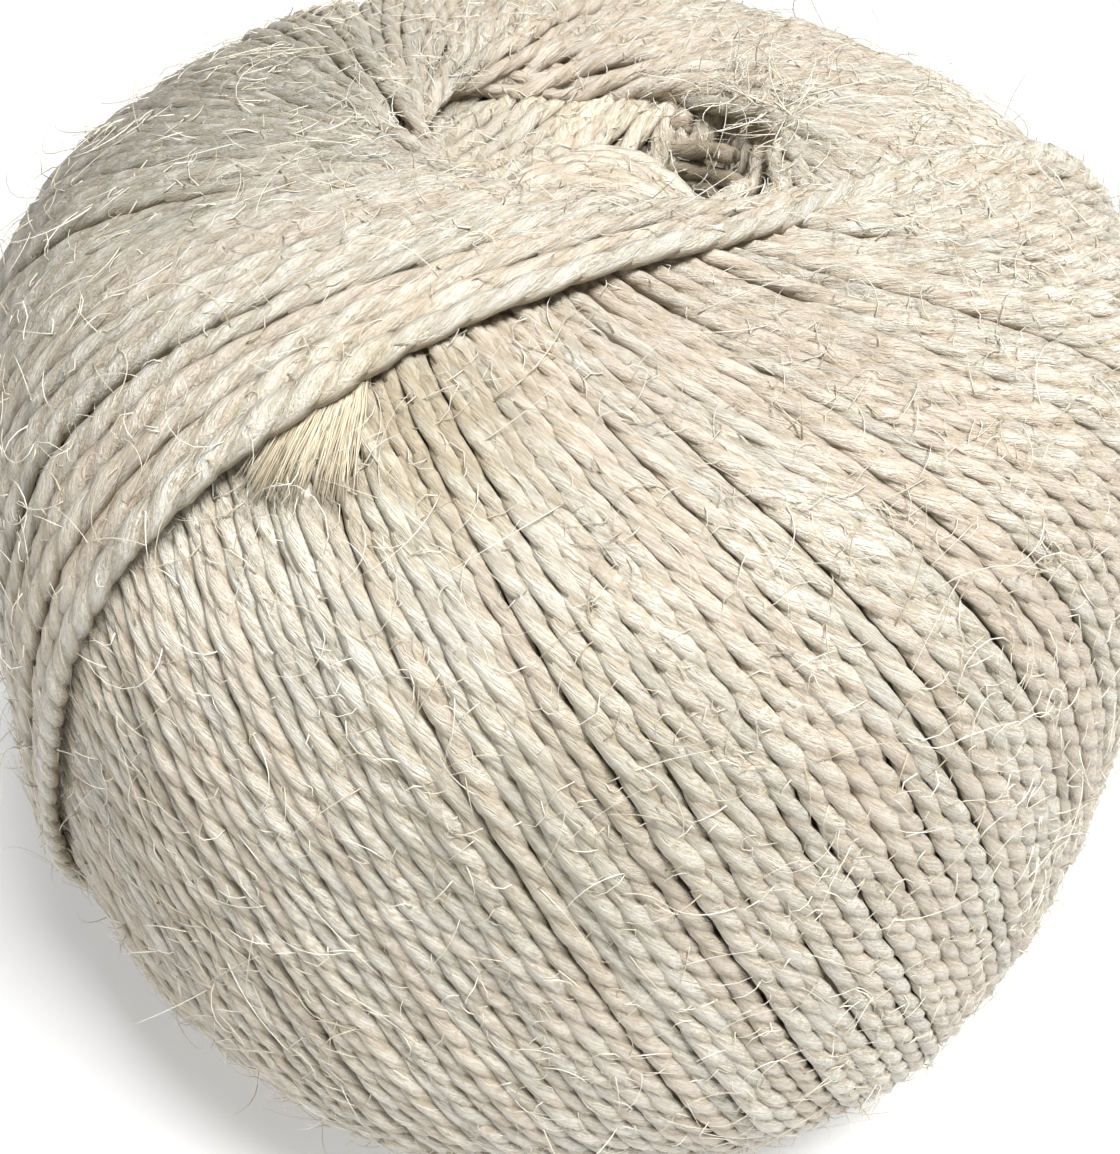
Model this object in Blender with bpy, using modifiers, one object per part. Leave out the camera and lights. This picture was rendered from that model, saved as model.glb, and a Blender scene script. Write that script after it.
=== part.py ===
"""A ball of two-ply sisal twine, wound by machine round a spindle that was then drawn out.

The ball is one closed solid: a turned form with a hollow right through it, whose points are then
moved out along the winding, so that its main ridges and the ledge of the newest turn are raised.

Frame: metres, +Z up along the hollow. The origin is the centre of the base, on the surface that the
ball stands on, and -Y is the side from which the newest turn is seen rising to the crown.
"""

import math

import bmesh
import bpy
from mathutils import Vector

# Driving dimensions of the wound form, in metres
BALL_RADIUS = 0.0570  # half the widest width, before the relief of the winding
CROWN_HEIGHT = 0.0529  # from the widest plane up to the plane that the crown's curve flattens to
CROWN_POWER = 3.6  # how square the crown's curve is: 2 would be an ellipse
FOOT_DEPTH = 0.0463  # the same, below the widest plane
FOOT_POWER = 3.2
STAND_DEPTH = 0.0446  # from the widest plane down to the flat spot that the ball stands on

# Driving dimensions of the hollow that the spindle left, in metres. The inner windings stand further
# in than the outer ones, as a shelf round a throat that is set a little to the right and the back
HOLLOW_WALL = (
    # place, height above the widest plane, half-width
    ("foot", -0.0390, 0.0120),
    ("lower throat", -0.0240, 0.0068),
    ("upper throat", 0.0370, 0.0068),
    ("shelf", 0.0440, 0.0115),
    ("rim", 0.0475, 0.0142),
)
THROAT_SHIFT = (0.0060, 0.0042)  # how far the throat's centre lies from the ball's axis, in x and y
SHIFT_DEPTH = 0.0140  # depth over which the hollow moves across to the throat, and back again
RIM_WIDTH = 0.0068  # width of the rounded rim between the hollow's wall and the crown
MOUTH_WIDTH = 0.0065  # width of the rounded mouth at the foot of the hollow

# The winding: each turn lies in a tilted plane, and touches a small circle round the crown
NEWEST_AZIMUTH = math.radians(-55.0)  # where the newest turn touches its circle
NEWEST_CIRCLE = math.radians(23.0)  # angle of that circle from the axis, seen from the centre
RISING_CIRCLE = math.radians(18.0)  # the same for the older turns, on their way up
FALLING_CIRCLE = math.radians(26.5)  # and on their way down
RIDGES = 18  # bundles of turns that stand out round the ball
RIDGE_HEIGHT = 0.0007  # half of the height from a furrow to a ridge
SWELLS = 7  # slower waves round the ball, where the winding lies thicker or thinner
SWELL_HEIGHT = 0.0004
LAYER_HEIGHT = 0.0019  # rise onto the newest turn from the turns beneath it
LEDGE_WIDTH = 0.0014  # width over which that rise is spread
FADE_HEIGHT = 0.0060  # height above the flat spot over which the relief grows to its full size

# How finely the form is divided
COLUMNS = 90
CROWN_ROWS = 22
FOOT_ROWS = 13
FLAT_ROWS = 2
MOUTH_ROWS = 3
WALL_ROWS = 12
RIM_ROWS = 5
LEAST_EDGE = 0.0006  # points nearer than this to the foot or lip of the ledge are moved onto it

TWINE_COLOUR = (0.74, 0.68, 0.56, 1.0)
TWINE_ROUGHNESS = 0.85
MERGE_DISTANCE = 0.00001


def smooth_step(value):
    """Rises smoothly from 0 to 1 as its value does, and stays there outside that range."""
    share = min(max(value, 0.0), 1.0)
    return share * share * (3.0 - 2.0 * share)


def hollow_radius(height):
    """Half-width of the hollow at a height above the widest plane."""
    radius = HOLLOW_WALL[0][2]
    for (_, low, before), (_, high, after) in zip(HOLLOW_WALL, HOLLOW_WALL[1:]):
        radius += (after - before) * smooth_step((height - low) / (high - low))
    return radius


def throat_share(height):
    """How far the hollow has moved across to its throat: 0 at both ends and 1 between them."""
    below_rim = smooth_step((HOLLOW_WALL[-1][1] - height) / SHIFT_DEPTH)
    above_foot = smooth_step((height - HOLLOW_WALL[0][1]) / SHIFT_DEPTH)
    return below_rim * above_foot


def crown_height(radius):
    """Height of the crown's outline above the widest plane at a half-width."""
    return CROWN_HEIGHT * (1.0 - (radius / BALL_RADIUS) ** CROWN_POWER) ** (1.0 / CROWN_POWER)


def foot_radius(depth):
    """Half-width of the outline at a depth below the widest plane."""
    return BALL_RADIUS * (1.0 - (depth / FOOT_DEPTH) ** FOOT_POWER) ** (1.0 / FOOT_POWER)


def superellipse_arc(start_radius, start_height, height, power, rows):
    """Points from a start on a superellipse down to its widest point, evenly spaced by angle."""
    start = math.atan2(start_height, start_radius)
    points = []
    for row in range(rows):
        angle = start * (1.0 - row / rows)
        across, up = math.cos(angle) / BALL_RADIUS, math.sin(angle) / height
        reach = (across**power + up**power) ** (-1.0 / power)
        points.append((reach * math.cos(angle), reach * math.sin(angle)))
    return points


def quarter(centre, width, depth, turned, rows):
    """Points of a quarter ellipse about a centre, from one of its flat ends to the other."""
    points = []
    for row in range(rows):
        angle = math.radians(90.0) * row / rows
        across, up = (math.sin(angle), math.cos(angle)) if turned else (math.cos(angle), math.sin(angle))
        points.append((centre[0] - width * across, centre[1] + depth * up))
    return points


def outline():
    """The closed outline that is turned, down the outer side and back up the hollow."""
    rim_foot = HOLLOW_WALL[-1][1]
    rim_radius = HOLLOW_WALL[-1][2] + RIM_WIDTH
    rim_top = crown_height(rim_radius)
    crown = superellipse_arc(rim_radius, rim_top, CROWN_HEIGHT, CROWN_POWER, CROWN_ROWS)

    flat_radius = foot_radius(STAND_DEPTH)
    foot_arc = superellipse_arc(flat_radius, STAND_DEPTH, FOOT_DEPTH, FOOT_POWER, FOOT_ROWS)
    foot = [(BALL_RADIUS, 0.0)] + [(radius, -depth) for radius, depth in reversed(foot_arc)]

    mouth_top = HOLLOW_WALL[0][1]
    mouth_depth = STAND_DEPTH + mouth_top
    mouth_radius = HOLLOW_WALL[0][2] + MOUTH_WIDTH
    flat = []
    for row in range(1, FLAT_ROWS):
        share = row / FLAT_ROWS
        flat.append((flat_radius + (mouth_radius - flat_radius) * share, -STAND_DEPTH))
    mouth = quarter((mouth_radius, mouth_top), MOUTH_WIDTH, -mouth_depth, True, MOUTH_ROWS)

    wall = []
    for row in range(WALL_ROWS):
        height = mouth_top + (rim_foot - mouth_top) * row / WALL_ROWS
        wall.append((hollow_radius(height), height))
    rim = quarter((rim_radius, rim_foot), RIM_WIDTH, rim_top - rim_foot, False, RIM_ROWS)
    return crown + foot + flat + mouth + wall + rim


def turned_ball(collection):
    """The outline turned once round Z, as a mesh object whose widest plane is at z = 0."""
    points = [Vector((radius, 0.0, height)) for radius, height in outline()]
    edges = [(index, (index + 1) % len(points)) for index in range(len(points))]
    profile = bpy.data.meshes.new("ball_outline")
    profile.from_pydata(points, edges, [])
    guide = bpy.data.objects.new("ball_outline", profile)
    collection.objects.link(guide)
    screw = guide.modifiers.new("turn", "SCREW")
    screw.axis = "Z"
    screw.angle = math.radians(360.0)
    screw.steps = COLUMNS
    screw.render_steps = COLUMNS
    screw.use_merge_vertices = True
    screw.merge_threshold = MERGE_DISTANCE
    bpy.context.view_layer.update()
    evaluated = guide.evaluated_get(bpy.context.evaluated_depsgraph_get())
    mesh = bpy.data.meshes.new_from_object(evaluated)
    bpy.data.objects.remove(guide)
    bpy.data.meshes.remove(profile)
    mesh.name = "twine_ball"
    ball = bpy.data.objects.new("twine_ball", mesh)
    collection.objects.link(ball)
    return ball


def touch_azimuth(direction, circle, rising):
    """Where the turn that passes through a direction touches its circle round the crown."""
    polar = math.acos(direction.z)
    ratio = math.tan(circle) * direction.z / max(math.sin(polar), 1e-6)
    sweep = math.acos(min(max(ratio, -1.0), 1.0))
    azimuth = math.atan2(direction.y, direction.x)
    return azimuth + sweep if rising else azimuth - sweep


def age(touch):
    """Angle from 0 to a full turn by which the winding has moved on since a turn was laid."""
    return (NEWEST_AZIMUTH - touch) % (2.0 * math.pi)


def newest_plane():
    """Unit normal of the plane in which the newest turn lies."""
    flat = Vector((-math.cos(NEWEST_AZIMUTH), -math.sin(NEWEST_AZIMUTH), 0.0))
    return flat * math.cos(NEWEST_CIRCLE) + Vector((0.0, 0.0, math.sin(NEWEST_CIRCLE)))


def is_outside(vertex):
    """Whether a vertex lies on the ball's outer side, and not in the hollow, on its rim or underneath."""
    clear_of_flat = vertex.co.z > LEAST_EDGE - STAND_DEPTH
    return clear_of_flat and vertex.co.xy.length > HOLLOW_WALL[-1][2] + MOUTH_WIDTH


def cut_ledge(ball):
    """Cuts the ball's faces along both foot and lip of the ledge, so that it comes out crisp."""
    mesh = bmesh.new()
    mesh.from_mesh(ball.data)
    across = newest_plane()
    half = 0.5 * LEDGE_WIDTH
    for vertex in mesh.verts:
        offset = vertex.co.dot(across)
        if is_outside(vertex) and abs(offset) < half + LEAST_EDGE:
            vertex.co += across * (math.copysign(half, offset) - offset)
    for side in (-half, half):
        faces = [face for face in mesh.faces if all(is_outside(vertex) for vertex in face.verts)]
        edges = {edge for face in faces for edge in face.edges}
        vertices = {vertex for face in faces for vertex in face.verts}
        bmesh.ops.bisect_plane(
            mesh,
            geom=list(vertices) + list(edges) + faces,
            dist=MERGE_DISTANCE,
            plane_co=across * side,
            plane_no=across,
        )
    bmesh.ops.triangulate(mesh, faces=mesh.faces[:])
    mesh.to_mesh(ball.data)
    mesh.free()


def relief(direction, distance, height_above_stand):
    """Height that the winding adds along a direction, at a distance from the ball's centre."""
    rising_age = age(touch_azimuth(direction, NEWEST_CIRCLE, True))
    falling_age = age(touch_azimuth(direction, NEWEST_CIRCLE, False))
    layers = LAYER_HEIGHT * (1.0 - (rising_age + falling_age) / (2.0 * math.pi))

    on_rising_side = direction.dot(newest_plane()) * distance > 0.0
    circle = RISING_CIRCLE if on_rising_side else FALLING_CIRCLE
    years = age(touch_azimuth(direction, circle, on_rising_side))
    spread = math.sqrt(max(1.0 - direction.z**2 - math.sin(circle) ** 2, 0.0))
    ridges = RIDGE_HEIGHT * math.cos(RIDGES * years) * smooth_step(2.0 * spread - 0.5)
    waves = ridges + SWELL_HEIGHT * math.cos(SWELLS * years)
    return (layers + waves) * smooth_step(height_above_stand / FADE_HEIGHT)


def raise_winding(ball):
    """Moves the outer side and the rim out by the relief of the winding, and the throat across."""
    for vertex in ball.data.vertices:
        point = vertex.co.copy()
        radius = math.hypot(point.x, point.y)
        share = smooth_step((radius - hollow_radius(point.z)) / RIM_WIDTH)
        distance = point.length
        direction = point / distance
        vertex.co = point + direction * relief(direction, distance, point.z + STAND_DEPTH) * share
        across = throat_share(point.z) * (1.0 - share)
        vertex.co.x += THROAT_SHIFT[0] * across
        vertex.co.y += THROAT_SHIFT[1] * across


def stand_on_base(ball):
    """Lifts the ball so that its flat spot is at z = 0, and centres its box on the Z axis."""
    corners = [vertex.co for vertex in ball.data.vertices]
    across = 0.5 * (min(c.x for c in corners) + max(c.x for c in corners))
    along = 0.5 * (min(c.y for c in corners) + max(c.y for c in corners))
    shift = Vector((-across, -along, STAND_DEPTH))
    for vertex in ball.data.vertices:
        vertex.co = vertex.co + shift


def twine_material():
    """Pale straw-coloured sisal, dull all over."""
    material = bpy.data.materials.new("sisal_twine")
    material.use_nodes = True
    shader = material.node_tree.nodes["Principled BSDF"]
    shader.inputs["Base Color"].default_value = TWINE_COLOUR
    shader.inputs["Roughness"].default_value = TWINE_ROUGHNESS
    shader.inputs["Metallic"].default_value = 0.0
    return material


def clear_scene():
    """Removes what the startup scene holds."""
    for thing in list(bpy.data.objects):
        bpy.data.objects.remove(thing)


def main():
    """Builds the ball in a collection of its own."""
    clear_scene()
    collection = bpy.data.collections.new("ball_of_sisal_twine")
    bpy.context.scene.collection.children.link(collection)
    ball = turned_ball(collection)
    cut_ledge(ball)
    raise_winding(ball)
    stand_on_base(ball)
    ball.data.materials.append(twine_material())
    ball.data.shade_smooth()


main()
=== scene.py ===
"""Ball of two-ply sisal twine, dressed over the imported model: the strands, their twist and the fibres.

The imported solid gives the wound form. Here the turns of twine are laid on it one by one, as the
winder laid them: each turn lies near a plane through the ball's centre, touches a small circle
round the crown, and the next is laid a little further round. What a later turn covers is left out.

Frame: metres, +Z up along the hollow, the origin on the floor under the ball's centre.
"""

import logging
import math
from dataclasses import dataclass, field
from enum import Enum

import bpy
import numpy as np
from mathutils import Matrix, Vector


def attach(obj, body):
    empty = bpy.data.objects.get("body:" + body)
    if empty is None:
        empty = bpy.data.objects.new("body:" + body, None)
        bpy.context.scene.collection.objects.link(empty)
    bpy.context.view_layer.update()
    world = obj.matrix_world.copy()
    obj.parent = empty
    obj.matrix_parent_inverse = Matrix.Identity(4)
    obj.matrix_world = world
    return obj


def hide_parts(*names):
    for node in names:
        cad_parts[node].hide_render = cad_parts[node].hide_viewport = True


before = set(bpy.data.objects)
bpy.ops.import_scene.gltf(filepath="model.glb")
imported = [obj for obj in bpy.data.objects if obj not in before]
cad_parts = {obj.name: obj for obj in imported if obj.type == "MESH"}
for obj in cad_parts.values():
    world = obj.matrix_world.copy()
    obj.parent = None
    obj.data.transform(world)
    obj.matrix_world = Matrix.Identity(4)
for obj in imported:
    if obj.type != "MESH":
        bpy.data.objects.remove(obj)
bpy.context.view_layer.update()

Array = np.ndarray
Luck = np.random.Generator
Material = bpy.types.Material
Piece = bpy.types.Object
Socket = bpy.types.NodeSocket
Colour = tuple[float, float, float, float]
Spot = tuple[float, float, float]

log = logging.getLogger("twine_ball")

MILLIMETRE = 0.001
FULL_TURN = 2.0 * math.pi
LEAST_LENGTH = 1e-12
LEAST_SPACING = 1e-5
FEWEST_POINTS = 4
ANY_PHASE = (0.0, 6.3)
OUT_OF_SIGHT = 0.97
WHITE = (1.0, 1.0, 1.0, 1.0)


def smooth(value: Array) -> Array:
    """Rises smoothly from 0 to 1 as the value does, and stays level outside that range."""
    share = np.clip(value, 0.0, 1.0)
    return share * share * (3.0 - 2.0 * share)


def unit(vectors: Array) -> Array:
    """The vectors at length 1."""
    return vectors / np.maximum(np.linalg.norm(vectors, axis=-1, keepdims=True), LEAST_LENGTH)


def averaged(rows: Array) -> Array:
    """The rows, each averaged with the four on either side of it."""
    kernel = np.ones(9) / 9.0
    return np.stack([np.convolve(np.pad(column, 4, "edge"), kernel, "valid") for column in rows.T], axis=1)


def read_off(marks: Array, stations: Array, rows: Array) -> Array:
    """The rows that lie at marks between stations."""
    return np.stack([np.interp(marks, stations, column) for column in rows.T], axis=1)


def ripple(reach: Array, size: float, length: float, luck: Luck) -> Array:
    """A wave along a strand that starts anywhere."""
    return size * np.sin(reach / length + luck.uniform(*ANY_PHASE))


class Way(Enum):
    """Whether a stretch of a turn is on its way up to the crown or down from it."""

    RISING = -1
    FALLING = 1


@dataclass(frozen=True)
class WoundForm:
    """The turned form under the winding's relief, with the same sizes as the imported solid's.

    All heights are measured from the widest plane, whose height over the floor is stand_depth.
    """

    radius: float = 0.0570
    crown_height: float = 0.0529
    crown_power: float = 3.6
    foot_depth: float = 0.0463
    foot_power: float = 3.2
    stand_depth: float = 0.0446
    rim: tuple[float, float] = (0.0142, 0.0475)
    rim_width: float = 0.0068
    mouth: tuple[float, float] = (0.0120, -0.0390)
    mouth_width: float = 0.0065
    lip: tuple[tuple[float, float], ...] = (
        # half-width and height of the rounded lip, where the strands hang into the mouth
        (0.0104, 0.0476),
        (0.0111, 0.0490),
        (0.0124, 0.0504),
        (0.0144, 0.0514),
        (0.0164, 0.0520),
    )
    lip_steps: int = 26  # steps of the plain rim that the lip stands in for
    flat_margin: float = 0.0006

    def crown_at(self, radius: Array) -> Array:
        """Height of the crown's outline at a half-width."""
        inner = 1.0 - (radius / self.radius) ** self.crown_power
        return self.crown_height * np.maximum(inner, 0.0) ** (1.0 / self.crown_power)

    def belly(self, sweep: Array, height: float, power: float) -> Array:
        """The outline over or under the widest plane.

        Args:
            sweep: Angles from the upward axis.
            height: How far the outline reaches on that axis.
            power: How square it is, 2 for an ellipse.

        Returns:
            Rows of half-width and height.
        """
        across = (np.sin(sweep) / self.radius) ** power
        upward = (np.abs(np.cos(sweep)) / height) ** power
        reach = (across + upward) ** (-1.0 / power)
        return np.stack([reach * np.sin(sweep), reach * np.cos(sweep)], axis=1)

    def outline(self) -> Array:
        """The outer outline, from the rim down to the foot's mouth, as rows of half-width and height."""
        quarter = np.radians(np.linspace(0.0, 90.0, 40))
        rim_out = self.rim[0] + self.rim_width
        rim_up = float(self.crown_at(np.array(rim_out))) - self.rim[1]
        rim_across = rim_out - self.rim_width * np.cos(quarter)
        rim = np.stack([rim_across, self.rim[1] + rim_up * np.sin(quarter)], axis=1)
        rim = np.concatenate([self.lip, rim[self.lip_steps :]])
        sweep = np.linspace(math.atan2(rim_out, rim[-1, 1]), math.radians(90.0), 160)
        crown = self.belly(sweep, self.crown_height, self.crown_power)
        sweep = np.linspace(math.radians(90.5), math.radians(180.0) - 0.5, 200)
        foot = self.belly(sweep, self.foot_depth, self.foot_power)
        foot = foot[foot[:, 1] > -self.stand_depth]
        mouth_out = self.mouth[0] + self.mouth_width
        flat_out = foot[-1, 0] - self.flat_margin
        flat = np.array([[flat_out, -self.stand_depth], [mouth_out, -self.stand_depth]])
        mouth_across = mouth_out - self.mouth_width * np.sin(quarter)
        mouth_up = self.mouth[1] - (self.stand_depth + self.mouth[1]) * np.cos(quarter)
        whole = np.concatenate([rim, crown, foot, flat, np.stack([mouth_across, mouth_up], axis=1)])
        polar = np.arctan2(whole[:, 0], whole[:, 1])
        return whole[polar > np.concatenate([[0.0], np.maximum.accumulate(polar)[:-1]])]

    def surface(self, polar: Array, azimuth: Array) -> tuple[Array, Array]:
        """Points of the form and its outward normals.

        Args:
            polar: Angles from the upward axis, seen from the ball's centre.
            azimuth: Angles round that axis.

        Returns:
            The points and the normals, one row each.
        """
        outline = self.outline()
        bearing = np.arctan2(outline[:, 0], outline[:, 1])
        slope = np.gradient(outline, axis=0)
        normal = averaged(unit(np.stack([-slope[:, 1], slope[:, 0]], axis=1)))
        out, up = read_off(polar, bearing, outline).T
        lean, lift = read_off(polar, bearing, normal).T
        around = np.stack([np.cos(azimuth), np.sin(azimuth)], axis=1)
        points = np.column_stack([around * out[:, None], up + self.stand_depth])
        return points, unit(np.column_stack([around * lean[:, None], lift]))


@dataclass
class Strand:
    """A stretch of twine: its middle line, the side that faces out, and what tells it from the others."""

    points: Array
    outward: Array
    girth: Array
    shade: float
    phase: float

    def length(self) -> float:
        """Length along the middle line."""
        return float(np.linalg.norm(np.diff(self.points, axis=0), axis=1).sum())

    def spaced(self, step: float) -> "Strand":
        """The same strand with points at even steps along it, each about as long as asked."""
        reach = np.concatenate([[0.0], np.cumsum(np.linalg.norm(np.diff(self.points, axis=0), axis=1))])
        marks = np.linspace(0.0, reach[-1], max(int(round(reach[-1] / step)), 2) + 1)
        points, outward = (read_off(marks, reach, rows) for rows in (self.points, self.outward))
        return Strand(points, unit(outward), np.interp(marks, reach, self.girth), self.shade, self.phase)

    def axes(self) -> tuple[Array, Array, Array]:
        """The strand's own axes.

        Returns:
            Unit vectors along the strand, out of the ball and across, one row for each point.
        """
        along = unit(np.gradient(self.points, axis=0))
        outward = unit(self.outward - along * np.sum(self.outward * along, axis=1, keepdims=True))
        return along, outward, np.cross(along, outward)


def stretches(points: Array, outward: Array, girth: Array, shown: Array, luck: Luck) -> list[Strand]:
    """Cuts a turn into its unbroken stretches that show.

    Args:
        points: The turn's middle line.
        outward: The way out of the ball at each point.
        girth: How wide the turn is at each point, 1 for its full width.
        shown: Whether each point shows.
        luck: The source of each stretch's tint and twist.

    Returns:
        One strand for each stretch, leaving out the shortest.
    """
    edges = np.flatnonzero(np.diff(np.concatenate([[0], shown.astype(int), [0]])))
    found = []
    for first, last in zip(edges[::2], edges[1::2]):
        if last - first < FEWEST_POINTS:
            continue
        shade, phase = luck.uniform(0.0, 1.0), luck.uniform(0.0, FULL_TURN)
        found.append(Strand(points[first:last], outward[first:last], girth[first:last], shade, phase))
    return found


def report(piece: Piece) -> int:
    """Logs a finished piece, and returns how many triangles it has."""
    triangles = sum(len(polygon.vertices) - 2 for polygon in piece.data.polygons)
    log.info("%s: %d triangles", piece.name, triangles)
    return triangles


def dress(piece: Piece) -> Piece:
    """Makes a piece ride on the ball's body, and hides the imported solid that it stands for.

    Args:
        piece: The finished piece.

    Returns:
        The same piece.
    """
    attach(piece, "root")
    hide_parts("twine_ball")
    return piece


class Tubes:
    """Closed tubes that become one mesh, with the place of each point in its own strand."""

    def __init__(self) -> None:
        """Starts with no tube."""
        self.points: list[Array] = []
        self.grain: list[Array] = []
        self.depth: list[Array] = []
        self.shade: list[Array] = []
        self.quads: list[Array] = []
        self.caps: list[list[int]] = []
        self.count = 0

    def add(self, rings: Array, grain: Array, depth: Array, shade: float) -> None:
        """Adds one tube.

        Args:
            rings: Its points, as rings by sides by three.
            grain: For each point, its place in the strand with the twist partly out, in millimetres.
            depth: For each point, how far out of the ball it is and how far from the other ply.
            shade: A number from 0 to 1, which the finish reads as the tube's tint.
        """
        turns, sides = rings.shape[:2]
        index = self.count + np.arange(turns * sides).reshape(turns, sides)
        beside = np.roll(index, -1, axis=1)
        quads = np.stack([index[:-1], beside[:-1], beside[1:], index[1:]], axis=-1)
        self.quads.append(quads.reshape(-1, 4))
        self.caps += [index[0, ::-1].tolist(), index[-1].tolist()]
        self.points.append(rings.reshape(-1, 3))
        self.grain.append(grain.reshape(-1, 3))
        self.depth.append(depth.reshape(-1, 3))
        self.shade.append(np.full(turns * sides, shade))
        self.count += turns * sides

    def add_fibre(self, line: Array, outward: Array, widths: Array, height: float, shade: float) -> None:
        """Adds a single fibre as a three-sided tube.

        Args:
            line: The fibre's middle line.
            outward: The way out of the ball.
            widths: Its half-width at each point.
            height: How high it is for its width.
            shade: A number from 0 to 1, which the finish reads as its tint.
        """
        angle = FULL_TURN * np.arange(3) / 3
        along = unit(np.gradient(line, axis=0))
        across = unit(np.cross(along, outward))
        over = np.cross(across, along)
        ring = over[:, None, :] * height * np.cos(angle)[None, :, None]
        ring = ring + across[:, None, :] * np.sin(angle)[None, :, None]
        rings = line[:, None, :] + ring * widths[:, None, None]
        flat = np.zeros(rings.shape)
        self.add(rings, flat, flat, shade)

    def piece(self, name: str, material: Material) -> Piece:
        """Makes the tubes one object at the origin, and dresses it.

        Args:
            name: The object's name.
            material: Its finish.

        Returns:
            The object, linked to the scene.
        """
        mesh = bpy.data.meshes.new(name)
        faces = np.concatenate(self.quads).tolist() + self.caps
        mesh.from_pydata(np.concatenate(self.points).tolist(), [], faces)
        for label, kind, values, rows in (
            ("grain", "FLOAT_VECTOR", "vector", self.grain),
            ("depth", "FLOAT_VECTOR", "vector", self.depth),
            ("shade", "FLOAT", "value", self.shade),
        ):
            attribute = mesh.attributes.new(label, kind, "POINT")
            attribute.data.foreach_set(values, np.concatenate(rows).astype(np.float32).ravel())
        mesh.materials.append(material)
        mesh.shade_smooth()
        mesh.update()
        piece = bpy.data.objects.new(name, mesh)
        bpy.context.collection.objects.link(piece)
        return dress(piece)


@dataclass(frozen=True)
class TwoPlyTwine:
    """Twine of two plies laid together, left-hand lay, as swept tubes."""

    radius: float = 0.00102
    ply_offset: float = 0.00029
    ply_depth: float = 0.00073
    ply_breadth: float = 0.00089
    lay_length: tuple[float, float] = (0.0072, 0.0104)
    ring_step: float = 0.00136
    flattening: float = 0.93
    widening: float = 1.10
    fibre_twist: float = 0.62
    sides: int = 6
    girths: tuple[float, float] = (0.94, 1.06)
    # size and length of the waves in a strand's twist, and of those in its girth
    wavers: tuple[tuple[float, float], ...] = ((0.9, 0.013), (0.5, 0.0057))
    swells: tuple[tuple[float, float], ...] = ((0.08, 0.0061), (0.06, 0.0023))
    unevenness: float = 0.04
    # how far the second ply's grain lies from the first's, along the strand and across it
    apart: tuple[float, float] = (0.37, 0.007)

    def sweep(self, strand: Strand, tubes: Tubes, luck: Luck) -> None:
        """Adds the two plies of a strand to a set of tubes.

        Args:
            strand: The strand to sweep.
            tubes: Where its plies are added.
            luck: The source of its irregularities.
        """
        strand = strand.spaced(self.ring_step)
        along, outward, across = strand.axes()
        turns = len(strand.points)
        reach = np.arange(turns) * self.ring_step
        waver = sum(ripple(reach, size, length, luck) for size, length in self.wavers)
        spin = strand.phase - FULL_TURN * reach / luck.uniform(*self.lay_length) + waver
        plump = luck.uniform(*self.girths) + ripple(reach, *self.swells[0], luck)
        plump += ripple(reach, *self.swells[1], luck) + self.unevenness * luck.standard_normal(turns)
        side = FULL_TURN * np.arange(self.sides) / self.sides
        for ply in range(2):
            turned = spin + math.pi * ply
            swell = plump * luck.uniform(*self.girths)
            face = side[None, :] - turned[:, None]
            out = (self.ply_offset + self.ply_depth * np.cos(face)) * swell[:, None]
            round_it = self.ply_breadth * np.sin(face) * swell[:, None]
            cos, sin = np.cos(turned)[:, None], np.sin(turned)[:, None]
            outer = (out * cos - round_it * sin) * self.flattening
            sideways = (out * sin + round_it * cos) * self.widening * strand.girth[:, None]
            rings = strand.points[:, None, :] + outer[..., None] * outward[:, None, :]
            rings = rings + sideways[..., None] * across[:, None, :]
            rings[..., 2] = np.maximum(rings[..., 2], 0.0)
            way = np.broadcast_to(reach[:, None] + self.apart[0] * ply, outer.shape)
            lie = side[None, :] - self.fibre_twist * turned[:, None]
            combed = self.ply_breadth * np.cos(lie), self.ply_breadth * np.sin(lie) + self.apart[1] * ply
            grain = np.stack([way, *combed], axis=-1) / MILLIMETRE
            depth = np.stack([outer, out, np.zeros(outer.shape)], axis=-1) / MILLIMETRE
            tubes.add(rings, grain, depth, strand.shade)


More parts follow.
